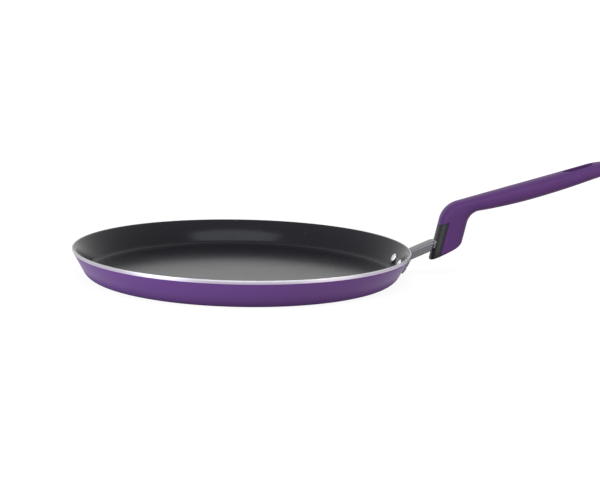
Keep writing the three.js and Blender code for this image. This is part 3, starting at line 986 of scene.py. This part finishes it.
def section(outer, inner, width, fullness):
    """A ring of the moulding: a rounded oval, fuller at its corners as fullness grows past 2."""
    power = 2 / fullness
    ring = []
    for i in range(section_points):
        angle = math.tau * i / section_points
        across = math.copysign(abs(math.cos(angle)) ** power, math.cos(angle))
        upward = math.copysign(abs(math.sin(angle)) ** power, math.sin(angle))
        spot = inner.lerp(outer, (1 + upward) / 2)
        ring.append((spot.x, spot.y, across * width / 2))
    return ring


def moulding():
    """The whole form, from the sole to the end of the grip."""
    foot_back = foot_depth / math.cos(lean_from_grip)
    heel_depth = foot_depth / math.cos(lean_from_grip + sole_climb)
    rings = []
    sole_steps = 12
    for i in range(sole_steps + 1):
        height = heel_round * (1 - math.cos(math.pi / 2 * i / sole_steps))
        outer = on_foot(height, drawn_in(height, toe_round))
        inner = on_foot(height, heel_depth - drawn_in(height, heel_round))
        width = foot_width - 2 * drawn_in(height, sole_edge_round)
        rings.append(section(outer, inner, width, foot_fullness))
    foot_steps = 14
    outer_end = bend_point(0, grip_top, bend_outer, 0)
    inner_end = bend_point(foot_back, neck_under, bend_inner, 0)
    sole_front, sole_back = outer, inner
    for i in range(1, foot_steps):
        front = sole_front.lerp(outer_end, i / foot_steps)
        back = sole_back.lerp(inner_end, i / foot_steps)
        rings.append(section(front, back, foot_width, foot_fullness))
    bend_steps = 32
    for i in range(bend_steps + 1):
        turn = i / bend_steps
        outer = bend_point(0, grip_top, bend_outer, turn)
        inner = bend_point(foot_back, neck_under, bend_inner, turn)
        width = mix(foot_width, neck_width, turn)
        rings.append(section(outer, inner, width, mix(foot_fullness, grip_fullness, turn)))
    nose_start = grip_length - nose_length
    neck_start = (outer.x + inner.x) / 2
    grip_steps = 60
    for i in range(1, grip_steps + 1):
        above = mix(outer.x, nose_start, i / grip_steps)
        below = mix(inner.x, nose_start, i / grip_steps)
        thickness = swell(below, inner.x, neck_thickness, belly_thickness, tail_thickness)
        middle = (above + below) / 2
        width = swell(middle, neck_start, neck_width, belly_width, tail_width)
        top = Vector((above, grip_top))
        rings.append(section(top, Vector((below, grip_top - thickness)), width, grip_fullness))
    nose_steps = 24
    nose_middle = grip_top - tail_thickness / 2
    for i in range(1, nose_steps):
        turn = math.pi / 2 * i / nose_steps
        along = nose_start + nose_length * math.sin(turn)
        half = math.cos(turn) * tail_thickness / 2
        ends = [Vector((along, nose_middle + sign * half)) for sign in (1, -1)]
        rings.append(section(*ends, tail_width * math.cos(turn), grip_fullness))
    return solid("moulding", rings, grip_frame)


def tongue_space():
    """The socket that the bracket's tongue goes into."""
    root = foot_front(tongue_bottom, -guard_thickness)
    low = tongue_bottom - fit_clearance
    high = tongue_top + fit_clearance
    end = tongue_reach + fit_clearance
    outline = [(root, low), (end, low), (end, high), (root, high)]
    return arm_plate("tongue_space", outline, tongue_width + 2 * fit_clearance)


# Heat guard
# A moulding of black heat-proof plastic that closes the front of the foot, towards the pan. The
# bracket goes through a window in it, and it is trapped between bracket and grip.
guard_height = 24


def guard_space(clearance):
    """The room that the guard takes at the front of the foot, with a clearance round it."""
    reach = 2 * guard_thickness
    behind = guard_thickness + clearance
    top = guard_height + clearance
    outline = [
        (foot_front(-reach, -reach), -reach),
        (foot_front(-reach, behind), -reach),
        (foot_front(top, behind), top),
        (foot_front(top, -reach), top),
    ]
    return arm_plate("guard_space", outline, 2 * foot_width)


def black_material():
    material, tree, shader = new_material("black_guard", Base_Color=srgb(25, 25, 27), IOR=1.35)
    grained(tree, shader, grains=2600, clouds=90, depth=0.03, roughness=(0.42, 0.56))
    return material


guard = combine(moulding(), guard_space(0), "INTERSECT")
guard = combine(guard, tongue_space())
guard.name = "heat_guard_moulded"
guard.data.materials.append(black_material())
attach(guard, "root")
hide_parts("heat_guard")

# Handle grip
# A purple plastic moulding with a satin soft-touch skin. A long hanging slot goes through its end,
# and a counterbore in its sole takes the screw that holds it.
slot_length = 25.5
slot_width = 13
slot_from_end = 29.7
slot_ease = 0.8  # how far the edges of the slot's mouths are eased
slot_mouth_steps = ((0, 2), (0, 1), (0.3, 0.3), (1, 0), (1.7, -0.3))
slot_end_flat = 0.01  # keeps the points of the round ends apart
grip_sharp_angle = 60  # leaves the eased edges smooth
boss_wall = 2.1
counterbore_width = 10.4
screw_tip_past = 0.7
counterbore_floor = tongue_bottom - fit_clearance - boss_wall


def skin_height(along, across, side):
    """Height of the grip's skin near its tail, above for side 1 and below for side -1."""
    thickness = swell(along, 0, neck_thickness, belly_thickness, tail_thickness)
    fall = (1 - abs(2 * across / tail_width) ** grip_fullness) ** (1 / grip_fullness)
    return grip_top - thickness / 2 * (1 - side * fall)


def slot_mouth(side):
    """Rings from inside the slot out past the skin, where each wall leans outwards.

    A step says how far its ring is grown and how deep it lies, as multiples of the ease.
    """
    rings = []
    for grown, depth in slot_mouth_steps:
        width = slot_width + 2 * grown * slot_ease
        length = slot_length + 2 * grown * slot_ease
        ring = []
        for s, c in rounded_outline(length, width, width / 2 - slot_end_flat, steps=12):
            along = grip_length - slot_from_end + s
            ring.append((along, skin_height(along, c, side) - side * depth * slot_ease, c))
        rings.append(ring)
    rings.append([(s, grip_top + side * 2 * belly_thickness, c) for s, _, c in rings[-1]])
    return rings


def soft_touch_material():
    material, tree, shader = new_material("purple_soft_touch", IOR=1.2)
    shade, _ = grained(
        tree, shader, grains=2200, clouds=40, depth=0.02, roughness=(0.42, 0.54)
    )
    colour = add_node(tree, "ShaderNodeMix", data_type="RGBA")
    colour.inputs["A"].default_value = srgb(79, 47, 99)
    colour.inputs["B"].default_value = srgb(84, 51, 104)
    tree.links.new(shade, colour.inputs["Factor"])
    tree.links.new(colour.outputs["Result"], shader.inputs["Base Color"])
    return material


grip = moulding()
grip.name = "handle_grip_moulded"
screw_hole_top = tongue_top + screw_tip_past + seat_gap
grip_cuts = [
    solid("hanging_slot", slot_mouth(-1)[::-1] + slot_mouth(1), grip_frame),
    guard_space(seat_gap),
    tongue_space(),
    pin("counterbore", counterbore_width, -counterbore_floor, counterbore_floor),
    pin("screw_hole", screw_shank + 2 * fit_clearance, 0, screw_hole_top),
]
for cut in grip_cuts:
    combine(grip, cut, sharp_angle=grip_sharp_angle)
grip.data.materials.append(soft_touch_material())
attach(grip, "root")
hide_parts("handle_grip")

# Handle screw
# A zinc-plated machine screw with a cross recess. It comes up through the counterbore and threads
# into the bracket's web.
screw_head_width = 8.6
screw_head_height = 2.5
screw_edge = 0.6
screw_segments = 64
drive_width = 4.6
drive_blade = 1.2
drive_depth = 1.4
drive_taper = ((-drive_depth, 1.1), (drive_depth, 0.75))  # height on the head, share of the width
washer_thickness = 1
washer_top = counterbore_floor - seat_gap
head_top = washer_top - washer_thickness - seat_gap
head_bottom = head_top - screw_head_height
screw_foot = arm_frame @ Matrix.Translation((screw_from_toe, 0, 0))
screw_frame = screw_foot @ Matrix.Rotation(-math.pi / 2, 4, "X")


def placed(piece, frame_matrix):
    """Moves a mesh, made round the origin, to its place in a frame given in millimetres."""
    place = frame_matrix.copy()
    place.translation = place.translation * mm
    piece.data.transform(place)
    return piece


def plated_material():
    material, tree, shader = new_material("zinc_plate", Base_Color=srgb(196, 198, 204), Metallic=1)
    grained(tree, shader, grains=3000, clouds=400, depth=0.006, roughness=(0.2, 0.36))
    return material


def screw_profile():
    head = screw_head_width / 2
    shank = screw_shank / 2
    tip = tongue_top + screw_tip_past
    return [
        (0, head_bottom),
        *arc((head - screw_edge, head_bottom + screw_edge), screw_edge, -math.pi / 2, 0, steps=6),
        (head, head_top),
        (shank, head_top),
        (shank, tip - screw_edge),
        (shank - screw_edge, tip),
        (0, tip),
    ]


def drive_blade_solid(along_x):
    """One blade of the cross recess, which narrows towards its floor."""
    size = (drive_width, drive_blade) if along_x else (drive_blade, drive_width)
    half = Vector(size) / 2
    rings = []
    for depth, share in drive_taper:
        ring = [(x * half.x * share, y * half.y * share) for x, y in square_signs]
        rings.append([(x, y, head_bottom + depth) for x, y in ring])
    return solid("drive_blade", rings)


plated = plated_material()
screw = turned("handle_screw_plated", screw_profile(), screw_segments, plated)
for along_x in (True, False):
    screw = combine(screw, drive_blade_solid(along_x))
placed(screw, screw_frame)
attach(screw, "root")
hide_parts("handle_screw")

# Lock washer
# A split spring washer of the same plated steel, cut from a coil and clamped under the screw's
# head. Its two ends stand slightly apart, one of them higher.
washer_width = 8.8
washer_bore = screw_shank + 2 * fit_clearance
washer_spring = 0.2
washer_open = math.radians(14)


def split_washer():
    bore = washer_bore / 2
    edge = washer_width / 2
    rings = []
    steps = 72
    for i in range(steps + 1):
        share = i / steps
        angle = washer_open / 2 + (math.tau - washer_open) * share
        lift = washer_spring * (share - 0.5)
        low = washer_top - washer_thickness + lift + washer_spring / 2
        high = washer_top + lift - washer_spring / 2
        corners = ((bore, low), (edge, low), (edge, high), (bore, high))
        rings.append([(r * math.cos(angle), r * math.sin(angle), h) for r, h in corners])
    return solid("lock_washer_split", rings)


washer = placed(split_washer(), screw_frame)
settle(washer)
washer.data.materials.append(plated)
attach(washer, "root")
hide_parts("lock_washer")
